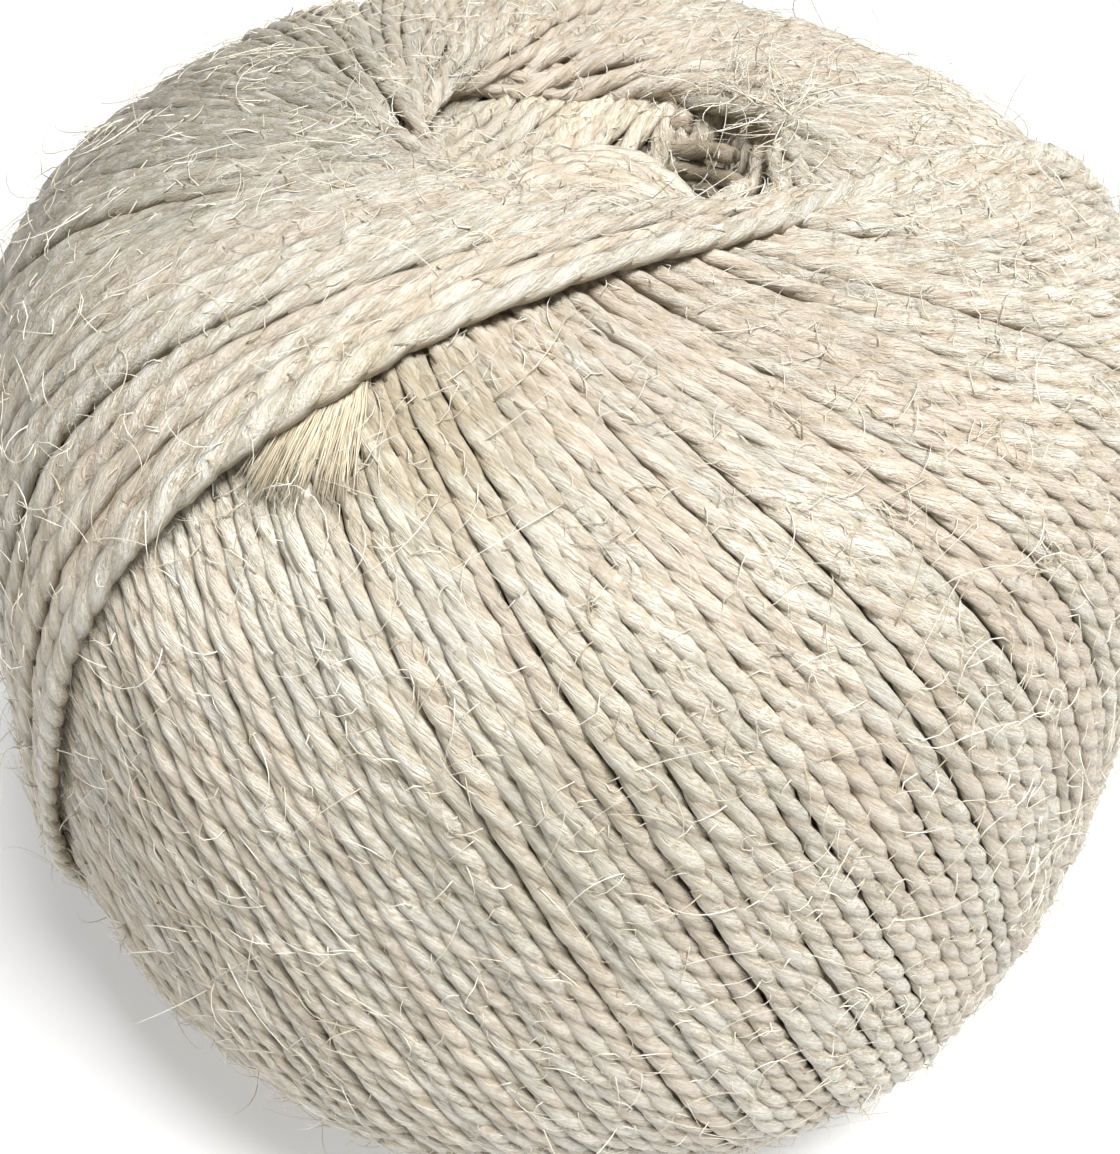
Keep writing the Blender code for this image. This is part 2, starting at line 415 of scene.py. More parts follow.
@dataclass(frozen=True)
class WindingLaw:
    """Where each turn lies. Angles are in radians, and an age is how far the winding has moved on since."""

    form: WoundForm = WoundForm()
    newest_azimuth: float = math.radians(-55.0)
    pitch: float = 0.0369
    layer: float = 0.0019
    foot_circle: float = math.radians(22.0)
    rising_circle: float = math.radians(17.1)
    newest_rising: float = math.radians(5.9)
    rising_fade: float = math.radians(13.0)
    falling_circle: float = math.radians(26.5)
    newest_falling: float = math.radians(-5.0)
    falling_fade: float = math.radians(25.0)
    bow: float = math.radians(1.8)
    over_crown: float = math.radians(60.0)
    reach: float = 0.054
    tucks: tuple[tuple[float, float, float, float], ...] = (
        # middle age, half-width, change of the rising and of the falling circle, in degrees
        (19.0, 15.0, -3.7, 0.0),
        (215.0, 45.0, -3.2, -4.0),
    )
    ridges: int = 18
    ridge_height: float = 0.00012
    swells: int = 7
    swell_height: float = 0.00030

    def circle(self, sweep: Array, age: float) -> Array:
        """The circle that a turn tends to touch, which changes along its sweep.

        Args:
            sweep: Angles along the turn, 0 where it is nearest the crown.
            age: The turn's age.

        Returns:
            The circle's angle from the axis at each of them.
        """
        rising = self.rising_circle + self.newest_rising * math.exp(-age / self.rising_fade)
        falling = self.falling_circle + self.newest_falling * math.exp(-((age / self.falling_fade) ** 2))
        for middle, half, change_up, change_down in self.tucks:
            share = math.exp(-(((math.degrees(age) - middle) / half) ** 2))
            rising += math.radians(change_up) * share
            falling += math.radians(change_down) * share
        bowed = np.exp(-(((np.degrees(sweep) + 8.0) / 24.0) ** 2)) * math.exp(-math.degrees(age) / 4.0)
        up = self.foot_circle + (rising - self.foot_circle) * smooth(sweep / math.radians(90.0) + 2.0)
        over = rising + (falling - rising) * smooth(sweep / self.over_crown)
        down = falling + (self.foot_circle - falling) * smooth(sweep / self.over_crown - 2.0)
        return self.bow * bowed + np.where(sweep < 0.0, up, np.where(sweep < self.over_crown, over, down))

    def height(self, sweep: Array, age: float) -> Array:
        """How high a turn lies, as the layers under it have built up.

        Args:
            sweep: Angles along the turn.
            age: The turn's age.

        Returns:
            Height of its outer side over the form at each of them.
        """
        beta = np.abs(sweep)
        rising = 1.0 - (beta + age) / math.pi
        falling = (beta - age) / math.pi
        over = smooth(0.5 + sweep / math.radians(50.0))
        return self.layer * (rising * (1.0 - over) + falling * over)

    def spacing(self, sweep: Array, polar: Array, circle: Array, age: float) -> Array:
        """How far a turn is from the next, square to them.

        Args:
            sweep: Angles along the turn.
            polar: Its angles from the axis.
            circle: The circle that it tends to touch.
            age: The turn's age.

        Returns:
            The distance at each point.
        """
        open_side = np.sqrt(np.maximum(np.sin(polar) ** 2 - np.sin(circle) ** 2, 0.0))
        round_it = self.pitch * self.reach * open_side
        drift = self.newest_rising * math.exp(-age / self.rising_fade) * self.pitch / self.rising_fade
        gain = np.sin(circle) / (np.sin(polar) * np.maximum(np.cos(sweep), 0.3))
        return round_it + self.reach * abs(drift) * gain * (np.cos(sweep) > 0.2)


@dataclass
class OuterWinding:
    """All turns of twine that show on the ball's outer side."""

    law: WindingLaw = WindingLaw()
    gaps: tuple[tuple[Way, float, float, float, float], ...] = (
        # way, turn before the gap, width in pitches, middle and half-length along the sweep in degrees
        (Way.FALLING, 56.2, 0.46, 82.0, 26.0),
        (Way.RISING, 4.2, 0.36, -92.0, 24.0),
    )
    twine: TwoPlyTwine = TwoPlyTwine()
    turns: int = 171
    under: float = 0.16
    dive: float = 0.70
    step: float = 0.0205
    most_crowding: float = 6.0
    full_width: float = 0.00130
    squeeze: float = 0.32
    loose_width: float = 0.00178
    most_spread: float = 1.22
    uneven_pitch: float = 0.055
    uneven_circle: float = 0.16
    uneven_height: float = 0.00008
    deepest_dip: float = 1.6
    wavers: tuple[float, ...] = (2.1, 5.3, 11.7, 19.0)
    waver_size: float = 0.035
    # share of a gap's width that the turns on each side move by, and how many turns it takes to fade
    newer_side: tuple[float, float] = (0.35, 3.0)
    older_side: tuple[float, float] = (0.65, 5.0)
    bumps: tuple[float, ...] = (7.0, 17.0)
    bump_height: float = 0.00006
    sink: float = 0.0019
    pieces: int = 4
    strands: list[Strand] = field(default_factory=list)

    def level(self, turn: int) -> int:
        """How long a turn stays on top where the turns crowd. The newest one always does."""
        return (turn & -turn).bit_length() - 1 if turn else 9

    def lay_turn(self, turn: int, luck: Luck) -> None:
        """Lays one turn and keeps the stretches of it that show.

        Args:
            turn: Number of the turn, counted back from the newest.
            luck: The source of its irregularities.
        """
        law = self.law
        # the newest turns lie the most evenly
        steady = 0.25 if turn < 2 else 0.55 if turn < 24 else 1.0
        age = max(turn * law.pitch + steady * luck.normal(0.0, self.uneven_pitch) * law.pitch, 0.0)
        sweep = np.arange(-math.pi, math.pi, self.step)
        dip = math.radians(luck.uniform(0.0, self.deepest_dip)) * (self.level(turn) >= 3) * (age > 0.5)
        near = smooth(1.0 - np.abs(sweep) / math.radians(75.0))
        lean = steady * math.radians(luck.normal(0.0, self.uneven_circle))
        circle = law.circle(sweep, age) + lean - dip * near
        polar = np.arctan2(np.tan(circle), np.cos(sweep))
        waver = np.zeros_like(sweep)
        for wave in self.wavers:
            size = luck.normal(0.0, self.waver_size) / wave**0.5
            waver += size * np.sin(wave * sweep + luck.uniform(*ANY_PHASE))
        azimuth = law.newest_azimuth - age + sweep + waver * law.pitch * 3.0
        for way, before, width, middle, half in self.gaps:
            share, fade = self.newer_side if turn < before else self.older_side
            push = math.copysign(share, before - turn) * math.exp(-abs(turn - before) / fade)
            reach = smooth(1.6 - np.abs(np.degrees(sweep) - middle) / half)
            azimuth = azimuth + push * width * law.pitch * reach * (way.value * sweep > 0.0)

        spacing = law.spacing(sweep, polar, circle, age)
        apart = np.maximum(spacing, LEAST_SPACING)
        squeezed = 1.0 - self.squeeze * smooth(np.log2(self.full_width / apart) + 0.4)
        crowding = np.clip(self.full_width * squeezed / apart, 1.0, self.most_crowding)
        rank = self.level(turn) + luck.uniform(-0.35, 0.35)
        sunk = smooth(np.log2(crowding) - rank)
        height = law.height(sweep, age) - sunk * self.sink + luck.normal(0.0, self.uneven_height)
        height += law.ridge_height * math.cos(law.ridges * age)
        height += law.swell_height * math.cos(law.swells * age)
        for wave in self.bumps:
            size = luck.normal(0.0, self.bump_height)
            height += size * np.sin(wave * sweep + luck.uniform(*ANY_PHASE))

        points, outward = law.form.surface(polar, azimuth)
        points = points + outward * (height - self.twine.radius)[:, None]
        points[:, 2] = np.maximum(points[:, 2], self.twine.radius)
        beta = np.abs(sweep)
        rising = (sweep < self.dive) & ((sweep > 0.0) | (beta < math.pi - 0.5 * age + self.under))
        falling = (sweep >= 0.0) & (beta > 0.5 * age - self.under)
        shown = (rising | falling) & (sunk < OUT_OF_SIGHT)
        spread = np.clip(spacing / self.loose_width, 1.0, self.most_spread)
        self.strands += stretches(points, outward, squeezed * spread, shown, luck)

    def build(self, material: Material, luck: Luck) -> list[Piece]:
        """Lays every turn and sweeps what shows of it.

        Args:
            material: The twine's finish.
            luck: The source of its irregularities.

        Returns:
            The pieces, with the strands shared among them by length. The pieces, each
            with fewer triangles than the most that one may have.
        """
        for turn in range(self.turns):
            self.lay_turn(turn, luck)
        whole = sum(strand.length() for strand in self.strands)
        batches = [Tubes() for _ in range(self.pieces)]
        laid = 0.0
        for strand in self.strands:
            batch = min(int(laid / whole * self.pieces), self.pieces - 1)
            self.twine.sweep(strand, batches[batch], luck)
            laid += strand.length()
        return [batch.piece(f"wound_turns_{number + 1}", material) for number, batch in enumerate(batches)]


@dataclass
class HollowWinding:
    """The older turns that line the hollow: a shelf inside the mouth, and the throat down to the foot."""

    form: WoundForm = WoundForm()
    twine: TwoPlyTwine = TwoPlyTwine(ring_step=0.0017)
    throat_shift: tuple[float, float] = (0.0082, 0.0028)
    shift_depth: float = 0.0140
    shelf_edge: float = 0.0466
    shelf_wall: float = 0.0484
    shelf_bearing: float = math.radians(58.0)
    shelf_pitch: float = 0.00158
    shelf_layers: tuple[float, ...] = (0.0, 0.0012)
    shelf_offsets: tuple[float, float] = (0.0160, -0.0140)
    throat: float = 0.0061
    hump: tuple[Spot, ...] = (
        # the crest of the turns just behind the front lip, measured from the widest plane
        (-0.0160, -0.0125, 0.0440),
        (-0.0115, -0.0100, 0.0482),
        (-0.0060, -0.0066, 0.0506),
        (-0.0010, -0.0046, 0.0510),
        (0.0034, -0.0050, 0.0498),
        (0.0068, -0.0072, 0.0468),
        (0.0088, -0.0090, 0.0425),
        (0.0096, -0.0100, 0.0370),
    )
    hump_turns: int = 5
    hump_apart: float = 0.0017
    wall: float = 0.0215
    over_edge: float = 0.0022
    shelf_girth: float = 0.86
    lining: tuple[Spot, ...] = (
        # half-width, height above the widest plane and slope of the strands in degrees
        (0.0185, -0.0440, 48.0),
        (0.0140, -0.0424, 45.0),
        (0.0120, -0.0390, 42.0),
        (0.0090, -0.0315, 34.0),
        (0.0062, -0.0240, 26.0),
        (0.0060, 0.0360, 26.0),
        (0.0072, 0.0400, 24.0),
        (0.0092, 0.0436, 22.0),
        (0.0112, 0.0458, 22.0),
        (0.0128, 0.0482, 22.0),
    )
    lining_starts: int = 48
    lining_step: float = 0.0006
    lining_width: float = 0.0016
    lining_girth: float = 0.9
    sink: float = 0.0018
    strands: list[Strand] = field(default_factory=list)

    def moved(self, points: Array) -> Array:
        """Moves points across with the throat, and up onto the floor's height.

        Args:
            points: Points measured from the widest plane.

        Returns:
            The moved points.
        """
        below = smooth((self.form.rim[1] - points[:, 2]) / self.shift_depth)
        above = smooth((points[:, 2] - self.form.mouth[1]) / self.shift_depth)
        across = np.array([*self.throat_shift, 0.0])
        return points + (below * above)[:, None] * across + np.array([0.0, 0.0, self.form.stand_depth])

    def shelf_height(self, points: Array) -> Array:
        """Height of the shelf at points seen from above: level at the wall, over the edge at the throat.

        Args:
            points: The points, two numbers each.

        Returns:
            The heights.
        """
        out = np.hypot(points[:, 0], points[:, 1])
        inside = np.hypot(points[:, 0] - self.throat_shift[0], points[:, 1] - self.throat_shift[1])
        level = self.shelf_edge + (self.shelf_wall - self.shelf_edge) * smooth((out - 0.005) / 0.009)
        over = np.maximum(self.throat + self.over_edge - inside, 0.0)
        return level - over**2 / 0.0011

    def lay_shelf(self, luck: Luck) -> None:
        """Lays the turns of the shelf side by side, from wall to wall and over the throat's edge.

        Args:
            luck: The source of their irregularities.
        """
        along = np.array([math.cos(self.shelf_bearing), math.sin(self.shelf_bearing)])
        aside = np.array([-along[1], along[0]])
        first, last = self.shelf_offsets
        for number in range(len(self.shelf_layers) * (int((first - last) / self.shelf_pitch) + 1)):
            turn, layer = divmod(number, len(self.shelf_layers))
            offset = first - self.shelf_pitch * (turn + 0.5 * layer + luck.normal(0.0, 0.07))
            way = np.linspace(-self.wall, self.wall, 100)
            drift = luck.normal(0.0, 0.03) * way + 14.0 * way**2 * math.copysign(0.4, -offset)
            flat = way[:, None] * along + (offset + drift)[:, None] * aside
            up = self.shelf_height(flat) + luck.normal(0.0, 0.00014) - self.shelf_layers[layer]
            outward = np.column_stack([-flat * 12.0, np.ones(len(way))])
            lift = np.array([0.0, 0.0, self.form.stand_depth - self.twine.radius])
            points = np.column_stack([flat, up]) + lift
            girth = np.full(len(way), self.shelf_girth)
            self.strands += stretches(points, unit(outward), girth, up > 0.0360, luck)

    def lay_hump(self, luck: Luck) -> None:
        """Lays the few turns that cross the mouth just behind its front lip and drop into the throat.

        Args:
            luck: The source of their irregularities.
        """
        knots = np.array(self.hump)
        marks = np.linspace(0.0, len(knots) - 1.0, 60)
        middle = averaged(read_off(marks, np.arange(len(knots)), knots))
        for turn in range(self.hump_turns):
            shift = np.array([0.0006 * turn, self.hump_apart * (turn - 1.5), -0.0004 * abs(turn - 1.0)])
            points = middle + shift + luck.normal(0.0, 0.00015, 3)
            outward = np.tile([0.0, -0.25, 1.0], (len(points), 1))
            points = points + np.array([0.0, 0.0, self.form.stand_depth - self.twine.radius])
            ones = np.ones(len(points))
            self.strands += stretches(points, unit(outward), ones, ones > 0.0, luck)

    def lay_lining(self, luck: Luck) -> None:
        """Lays the turns that line the throat and the foot's mouth, as steep coils.

        Args:
            luck: The source of their irregularities.
        """
        radii, heights, slopes = (np.array(column) for column in zip(*self.lining))
        stations = np.concatenate([[0.0], np.cumsum(np.hypot(np.diff(radii), np.diff(heights)))])
        marks = np.arange(0.0, stations[-1], self.lining_step)
        reach, up = np.interp(marks, stations, radii), np.interp(marks, stations, heights)
        slope = np.radians(np.interp(marks, stations, slopes))
        lean = unit(np.column_stack([-np.gradient(up), np.gradient(reach)]))
        turned = np.concatenate([[0.0], np.cumsum((self.lining_step / (np.tan(slope) * reach))[1:])])
        for start in range(self.lining_starts):
            azimuth = FULL_TURN * (start + luck.normal(0.0, 0.15)) / self.lining_starts - turned
            spacing = FULL_TURN * reach * np.sin(slope) / self.lining_starts
            rank = 3 if start == 0 else (start & -start).bit_length() - 1
            sunk = smooth(np.log2(np.maximum(self.lining_width / spacing, 1.0)) - min(rank, 2))
            sunk = np.where(up > 0.0, 1.0 if rank < 2 else 0.0, sunk)
            around = np.stack([np.cos(azimuth), np.sin(azimuth)], axis=1)
            outward = np.column_stack([around * lean[:, :1], lean[:, 1]])
            height = luck.normal(0.0, 0.00015) - self.twine.radius - sunk * self.sink
            points = self.moved(np.column_stack([around * reach[:, None], up])) + outward * height[:, None]
            girth = np.full(len(points), self.lining_girth)
            self.strands += stretches(points, outward, girth, sunk < OUT_OF_SIGHT, luck)

    def build(self, material: Material, shaded: Material, luck: Luck) -> list[Piece]:
        """Lays the shelf with its hump, and the throat's lining, and sweeps each as one piece.

        Args:
            material: The finish of the turns that the light reaches: a paler copy of the twine's, painted
                light.
            shaded: The finish of the turns down in the throat: a darker copy of the twine's, painted shade.
            luck: The source of their irregularities.

        Returns:
            The two pieces.
        """
        self.lay_shelf(luck)
        self.lay_hump(luck)
        seen = len(self.strands)
        self.lay_lining(luck)
        pieces = []
        for name, strands, finish in (
            ("hollow_turns", self.strands[:seen], material),
            ("throat_turns", self.strands[seen:], shaded),
        ):
            tubes = Tubes()
            for strand in strands:
                self.twine.sweep(strand, tubes, luck)
            pieces.append(tubes.piece(name, finish))
        return pieces


@dataclass(frozen=True)
class StrayFibres:
    """Single fibres that stand out of the twine and curl back to it, as thin tapered tubes."""

    name: str
    count: int
    lengths: tuple[float, float]
    thickness: float
    rings: int
    steepest: float
    curl: float = 2.2
    middle: Spot = (0.0, 0.0, 0.0)
    within: float = 1.0
    # nearer the axis than this the turns crowd, and fewer fibres leave each
    crowded: float = 0.042
    least_open: float = 0.2
    lift: float = 0.00075
    aside: float = 0.0006
    droops: tuple[float, float] = (0.2, 1.5)
    girths: tuple[float, float] = (0.35, 0.6)
    tip: float = 0.35

    def roots(self, strands: list[Strand], luck: Luck) -> tuple[Array, ...]:
        """Picks where the fibres leave the twine.

        Args:
            strands: The strands that they grow from.
            luck: The source of the choice.

        Returns:
            For each fibre its root, the way along its strand, out of the ball and across.
        """
        places = np.concatenate([strand.points[1:-1] for strand in strands])
        steps = np.concatenate([strand.points[2:] - strand.points[:-2] for strand in strands])
        outs = np.concatenate([strand.outward[1:-1] for strand in strands])
        open_side = np.clip(np.hypot(places[:, 0], places[:, 1]) / self.crowded, self.least_open, 1.0)
        near = np.linalg.norm(places - self.middle, axis=1) < self.within
        weights = np.linalg.norm(steps, axis=1) * open_side * near
        chosen = luck.choice(len(places), self.count, p=weights / weights.sum())
        way = unit(steps[chosen])
        out = outs[chosen]
        out = unit(out - way * np.sum(out * way, axis=1, keepdims=True))
        return places[chosen], way, out, np.cross(way, out)

    def lines(self, strands: list[Strand], luck: Luck) -> tuple[Array, Array]:
        """Grows each fibre from its root, curling as it goes. None passes through the floor.

        Args:
            strands: The strands that they grow from.
            luck: The source of their irregularities.

        Returns:
            The fibres' points, as fibres by rings by three, and the outward way at each root.
        """
        place, way, out, side = self.roots(strands, luck)
        lateral = luck.uniform(-1.0, 1.0, self.count)
        length = luck.uniform(*self.lengths, self.count)
        rise = np.radians(luck.gamma(1.6, self.steepest / 1.6, self.count).clip(3.0, 85.0))
        heading = luck.uniform(0.0, FULL_TURN, self.count)
        curl = luck.normal(0.0, self.curl, self.count) / length
        droop = luck.uniform(*self.droops, self.count) * rise / length
        step = length / (self.rings - 1)
        point = place + out * self.lift + side * (lateral * self.aside)[:, None]
        points = [point]
        for ring in range(1, self.rings):
            angle = heading + curl * step * ring
            climb = rise - droop * step * ring
            flat = way * np.cos(angle)[:, None] + side * np.sin(angle)[:, None]
            point = point + (flat * np.cos(climb)[:, None] + out * np.sin(climb)[:, None]) * step[:, None]
            points.append(point)
        lines = np.stack(points, axis=1)
        lines[..., 2] = np.maximum(lines[..., 2], self.thickness)
        return lines, out

    def build(self, strands: list[Strand], material: Material, luck: Luck) -> Piece:
        """Grows the fibres and gives each its tube.

        Args:
            strands: The strands that they grow from.
            material: Their finish.
            luck: The source of their irregularities.

        Returns:
            The piece that holds them all.
        """
        tubes = Tubes()
        for line, outward in zip(*self.lines(strands, luck)):
            widths = np.linspace(1.0, self.tip, self.rings) * self.thickness * luck.uniform(*self.girths)
            tubes.add_fibre(line, outward, widths, 1.0, luck.uniform(0.0, 1.0))
        return tubes.piece(self.name, material)


@dataclass(frozen=True)
class FrayedPatch:
    """A tuft of combed fibres that has come loose of its ply, and lies fanned out under the newest turns."""

    form: WoundForm = WoundForm()
    fibres: int = 760
    rings: int = 7
    top: tuple[float, float] = (37.6, -116.3)
    top_spread: float = 1.9
    foot: tuple[float, float] = (46.6, -115.6)
    foot_spread: float = 4.6
    fan: float = 0.9
    reaches: tuple[float, float] = (0.35, 1.25)
    heights: tuple[float, float] = (-0.00070, -0.00015)
    sag: tuple[float, float] = (-0.0001, 0.0005)
    thickness: tuple[float, float] = (0.00006, 0.00011)
    flatness: float = 0.6
    tints: tuple[float, float] = (0.35, 1.0)

    def build(self, material: Material, luck: Luck) -> Piece:
        """Lays the fibres from the top of the tuft to its foot, each a little astray.

        Args:
            material: Their finish.
            luck: The source of their irregularities.

        Returns:
            The piece that holds them all.
        """
        tubes = Tubes()
        share = np.linspace(0.0, 1.0, self.rings)
        # polar and azimuth are in degrees here
        for _ in range(self.fibres):
            place = luck.uniform(-1.0, 1.0)
            reach = share * luck.uniform(*self.reaches)
            polar = self.top[0] + (self.foot[0] - self.fan * place - self.top[0]) * reach
            start = self.top[1] + self.top_spread * place
            end = self.foot[1] + self.foot_spread * place + luck.normal(0.0, 0.8)
            bow = luck.normal(0.0, 0.25) * np.sin(math.pi * share)
            bow = bow + luck.normal(0.0, 0.12) * np.sin(9.0 * share)
            azimuth = start + (end - start) * reach**0.8 + bow
            points, outward = self.form.surface(np.radians(polar), np.radians(azimuth))
            lift = luck.uniform(*self.heights) - luck.uniform(*self.sag) * share**2
            widths = luck.uniform(*self.thickness) * (1.0 - 0.6 * share**4)
            line = points + outward * lift[:, None]
            tubes.add_fibre(line, outward, widths, self.flatness, luck.uniform(*self.tints))
        return tubes.piece("frayed_patch", material)


class Graph:
    """A material's nodes, with a short way to add each kind."""

    def __init__(self, name: str) -> None:
        """Makes a new material with one shader.

        Args:
            name: The material's name.
        """
        self.material = bpy.data.materials.new(name)
        self.material.use_nodes = True
        self.tree = self.material.node_tree
        self.shader = self.tree.nodes["Principled BSDF"]

    def feed(self, socket: Socket, value: object) -> None:
        """Links an output to an input, or sets the input to a value."""
        if isinstance(value, Socket):
            self.tree.links.new(value, socket)
        else:
            socket.default_value = value

    def node(self, kind: str, inputs: dict[object, object], output: object = 0, **settings: str) -> Socket:
        """Adds a node.

        Args:
            kind: The node's type.
            inputs: A value or another node's output for each input, by its name or number.
            output: Name or number of the output wanted.
            settings: The node's own settings.

        Returns:
            That output.
        """
        node = self.tree.nodes.new(kind)
        for setting, value in settings.items():
            setattr(node, setting, value)
        for key, value in inputs.items():
            self.feed(node.inputs[key], value)
        return node.outputs[output]

    def attribute(self, name: str, output: str) -> Socket:
        """One of the attributes of the piece."""
        return self.node("ShaderNodeAttribute", {}, output, attribute_name=name)

    def place(self) -> Socket:
        """Where on the ball the surface is."""
        return self.node("ShaderNodeTexCoord", {}, "Object")

    def scaled(self, vector: Socket, factors: Spot) -> Socket:
        """A vector with each part multiplied by its own factor."""
        return self.node("ShaderNodeVectorMath", {0: vector, 1: factors}, operation="MULTIPLY")

    def part(self, vector: Socket, axis: str) -> Socket:
        """One part of a vector."""
        return self.node("ShaderNodeSeparateXYZ", {0: vector}, axis)

    def away(self, middle: Spot) -> Socket:
        """How far the surface is from a point of the ball's frame."""
        return self.node("ShaderNodeVectorMath", {0: self.place(), 1: middle}, "Value", operation="DISTANCE")

    def noise(self, vector: Socket, scale: float, detail: float) -> Socket:
        """Smooth noise over a vector, from 0 to 1."""
        return self.node("ShaderNodeTexNoise", {"Vector": vector, "Scale": scale, "Detail": detail})

    def spread(self, value: Socket, low: float, high: float) -> Socket:
        """A value mapped smoothly, so that low becomes 0 and high becomes 1."""
        ends = {"Value": value, "From Min": low, "From Max": high}
        return self.node("ShaderNodeMapRange", ends, interpolation_type="SMOOTHSTEP")

    def add(self, first: object, second: object) -> Socket:
        """The sum of two values."""
        return self.node("ShaderNodeMath", {0: first, 1: second}, operation="ADD")

    def times(self, first: object, second: object) -> Socket:
        """The product of two values."""
        return self.node("ShaderNodeMath", {0: first, 1: second}, operation="MULTIPLY")

    def mix(self, share: object, first: object, second: object) -> Socket:
        """A colour between two others, where share is the second one's."""
        return self.node("ShaderNodeMix", {0: share, 6: first, 7: second}, 2, data_type="RGBA")

    def bump(self, height: Socket, distance: float, strength: float) -> Socket:
        """A normal that makes a height stand out."""
        sizes = {"Height": height, "Distance": distance, "Strength": strength}
        return self.node("ShaderNodeBump", sizes)

    def set(self, **inputs: object) -> Material:
        """The material, with inputs of its shader set or linked. Their names have _ for each space."""
        for name, value in inputs.items():
            self.feed(self.shader.inputs[name.replace("_", " ")], value)
        return self.material


@dataclass(frozen=True)
class Streaks:
    """Noise combed along a strand: waves to a millimetre along it and across it, and its detail."""

    along: float
    across: float
    detail: float

    def over(self, graph: Graph, grain: Socket) -> Socket:
        """The noise over a strand's grain."""
        return graph.noise(graph.scaled(grain, (self.along, self.across, self.across)), 1.0, self.detail)


@dataclass(frozen=True)
class Tone:
    """A colour that takes over where a value runs from low to high, and the most that it takes."""

    colour: Colour
    low: float
    high: float
    most: float

    def over(self, graph: Graph, value: Socket, under: object) -> Socket:
        """The colour under it, with this one mixed in."""
        share = graph.times(graph.spread(value, self.low, self.high), self.most)
        return graph.mix(share, under, self.colour)


@dataclass(frozen=True)
class ShadeAndStain:
    """A soft spot of colour mixed over the ball; what each one paints is said where it is listed."""

    middle: Spot
    reach: float
    colour: Colour
    most: float

    def over(self, graph: Graph, uneven: Socket, under: Socket) -> Socket:
        """The colour under it, with the spot's mixed in.

        Args:
            graph: The material's nodes.
            uneven: Slow variation over the ball, which makes the edge uneven.
            under: The colour without the spot.

        Returns:
            The colour with it.
        """
        away = graph.add(graph.away(self.middle), graph.times(uneven, 0.4 * self.reach))
        return Tone(self.colour, 1.2 * self.reach, 0.35 * self.reach, self.most).over(graph, away, under)


@dataclass(frozen=True)
class SisalFinish:
    """Combed sisal in twisted twine: pale fibres that lie along the strand, and painted shade between the
    strands.
    """

    pale: Colour = (0.82, 0.785, 0.695, 1.0)
    straw: Colour = (0.59, 0.505, 0.37, 1.0)
    rosy: Colour = (0.65, 0.535, 0.41, 1.0)
    grey: Colour = (0.58, 0.57, 0.51, 1.0)
    # dark colour of the thin streaks in the fibres, and of the painted shade in the ply creases and between
    # the strands
    dark_streak_and_shade: Colour = (0.41, 0.34, 0.235, 1.0)
    # painted highlight on each ply's crest
    crest_highlight: Colour = (0.92, 0.885, 0.80, 1.0)
    # how much painted shade lies in the crease where the two plies meet
    ply_crease_shade: float = 0.48
    # how much of the painted highlight lies on each ply's crest
    crest_highlight_share: float = 0.30
    roughness: float = 0.42
    specular: float = 0.85
    fibre: Streaks = Streaks(0.16, 4.2, 3.0)
    thin: Streaks = Streaks(0.22, 7.5, 2.0)
    fine: Streaks = Streaks(0.35, 11.0, 2.0)
    patch: Streaks = Streaks(0.07, 0.5, 2.0)
    shades_and_stains: tuple[ShadeAndStain, ...] = (
        # painted shade: greyer and darker on the upper left, away from the key light
        ShadeAndStain((-0.042, -0.002, 0.090), 0.044, (0.34, 0.32, 0.27, 1.0), 0.76),
        # partly a straw stain, partly painted shade under the newest turns
        ShadeAndStain((-0.012, -0.041, 0.0915), 0.014, (0.45, 0.37, 0.22, 1.0), 0.55),
        # a darker, straw-coloured spot on the front of the ball
        ShadeAndStain((0.002, -0.054, 0.068), 0.022, (0.45, 0.39, 0.27, 1.0), 0.42),
    )

    def material(self, name: str) -> Material:
        """Makes the finish as a material.

        Args:
            name: The material's name.

        Returns:
            The material.
        """
        graph = Graph(name)
        grain = graph.attribute("grain", "Vector")
        depth = graph.attribute("depth", "Vector")
        shade = graph.attribute("shade", "Fac")
        uneven = graph.noise(graph.place(), 38.0, 3.0)
        fibre = self.fibre.over(graph, grain)
        tint = graph.add(graph.times(shade, 0.45), uneven)
        cool = graph.add(graph.times(shade, -0.25), self.patch.over(graph, grain))
        colour = Tone(self.straw, 0.40, 0.60, 1.0).over(graph, fibre, self.pale)
        colour = Tone(self.dark_streak_and_shade, 0.54, 0.70, 0.50).over(graph, self.thin.over(graph, grain), colour)
        colour = Tone(self.rosy, 0.52, 0.95, 0.58).over(graph, tint, colour)
        colour = Tone(self.grey, 0.36, 0.58, 0.42).over(graph, cool, colour)
        # painted shade on the upper left, stain and painted shade under the newest turns, and a darker spot on
        # the front
        for shade_and_stain in self.shades_and_stains:
            colour = shade_and_stain.over(graph, uneven, colour)
        from_ply, outward = graph.part(depth, "Y"), graph.part(depth, "X")
        # painted highlight: paler on each ply's crest
        colour = Tone(self.crest_highlight, 0.62, 1.02, self.crest_highlight_share).over(graph, from_ply, colour)
        # painted shade: darker in the crease where the two plies meet
        colour = Tone(self.dark_streak_and_shade, 0.44, 0.02, self.ply_crease_shade).over(graph, from_ply, colour)
        # painted shade: darker on each strand's inner side, in the grooves between the strands
        colour = Tone(self.dark_streak_and_shade, 0.60, -0.45, 0.92).over(graph, outward, colour)
        relief = graph.add(self.fine.over(graph, grain), graph.times(fibre, 1.3))
        normal = graph.bump(relief, 0.00028, 0.9)
        graph.set(Base_Color=colour, Normal=normal, Specular_IOR_Level=self.specular)
        return graph.set(Roughness=self.roughness)


